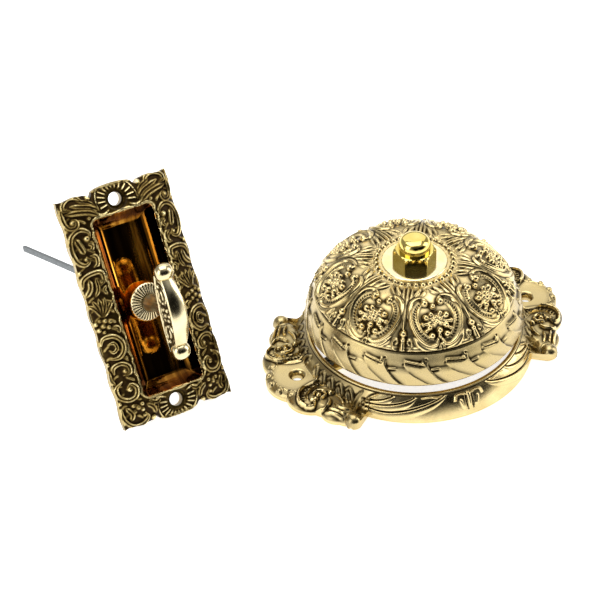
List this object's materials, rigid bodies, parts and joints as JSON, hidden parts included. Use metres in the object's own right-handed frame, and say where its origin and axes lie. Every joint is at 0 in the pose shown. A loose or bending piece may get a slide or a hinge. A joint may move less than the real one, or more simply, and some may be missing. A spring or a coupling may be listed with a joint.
{
  "type": "twist doorbell",
  "caption": "Antique brass twist doorbell: a key on a dished ornamental plate turns a spindle, and a domed relief gong on an eared ring hides the wheels and loose hammers.",
  "frame": {"origin": "on the bell's axis in the plane of its back, which is the table in the picture and the door in use: the mouth of the hub's slot for the spindle", "axes": "+Z along the bell's axis towards the cap nut, +X through the two ear holes; the key plate leans at -X"},
  "size_m": [0.2196, 0.2049, 0.094],
  "materials": {
    "bell_brass": "polished, dark old patina in the relief",
    "base_brass": "polished, dark old patina in the relief",
    "plate_brass": "rubbed bright on the ridges, dark brown patina in the ground",
    "key_brass": "polished by handling",
    "nut_brass": "bright polished",
    "works_brass": "as machined, satin",
    "works_steel": "grey drawn steel"
  },
  "bodies": {
    "frame": {"face_plate": "plate_brass", "base_ring": "base_brass", "back_bridge": "works_brass", "bridge_screws": "works_steel", "front_bridge": "works_brass", "pillar_1": "works_brass", "pillar_2": "works_brass", "pillar_3": "works_brass", "stop_studs": "works_steel", "spring_anchor": "works_steel", "return_spring": "works_steel", "gong_post": "works_steel", "gong": "bell_brass", "seat_nut": "works_brass", "seat_washer": "works_brass", "cap_nut": "nut_brass"},
    "driver": {"driver_hub": "works_brass", "hub_clip": "works_steel", "driver_wheel": "works_brass", "driver_stop": "works_steel"},
    "idler": {"idler_pinion": "works_steel", "idler_wheel": "works_brass"},
    "striker": {"striker_hub": "works_steel", "striker_arm": "works_brass", "hammer_pin_right": "works_steel", "hammer_pin_left": "works_steel"},
    "hammer_r": {"hammer_right": "works_steel"},
    "hammer_l": {"hammer_left": "works_steel"},
    "key": {"turn_key": "key_brass", "rosette": "key_brass", "spindle": "works_steel", "key_pin": "works_steel", "key_washer": "works_brass"}
  },
  "joints": [
    {"name": "driver_turn", "type": "hinge", "parent": "frame", "child": "driver", "pos_m": [0, 0, 0.0045], "axis": [0, 0, 1], "range_deg": [-40, 40], "stiffness_Nm_per_rad": 0.002},
    {"name": "idler_spin", "type": "hinge", "parent": "frame", "child": "idler", "pos_m": [0, 0.0192, 0.0045], "axis": [0, 0, 1], "range_deg": [-120, 120]},
    {"name": "striker_spin", "type": "hinge", "parent": "frame", "child": "striker", "pos_m": [0, 0, 0.0155], "axis": [0, 0, 1], "range_deg": [-360, 360]},
    {"name": "hammer_swing_right", "type": "hinge", "parent": "striker", "child": "hammer_r", "pos_m": [0.034, 0, 0.0209], "axis": [0, 0, 1], "range_deg": [-25, 25]},
    {"name": "hammer_swing_left", "type": "hinge", "parent": "striker", "child": "hammer_l", "pos_m": [-0.034, 0, 0.0209], "axis": [0, 0, 1], "range_deg": [-25, 25]},
    {"name": "key_turn", "type": "hinge", "parent": "frame", "child": "key", "pos_m": [-0.11785, 0.03324, 0.04658], "axis": [0.1564, -0.9201, 0.3591], "continuous": true}
  ],
  "couplings": [
    {"joint": "idler_spin", "follows": "driver_turn", "ratio": -3},
    {"joint": "striker_spin", "follows": "driver_turn", "ratio": 9}
  ]
}
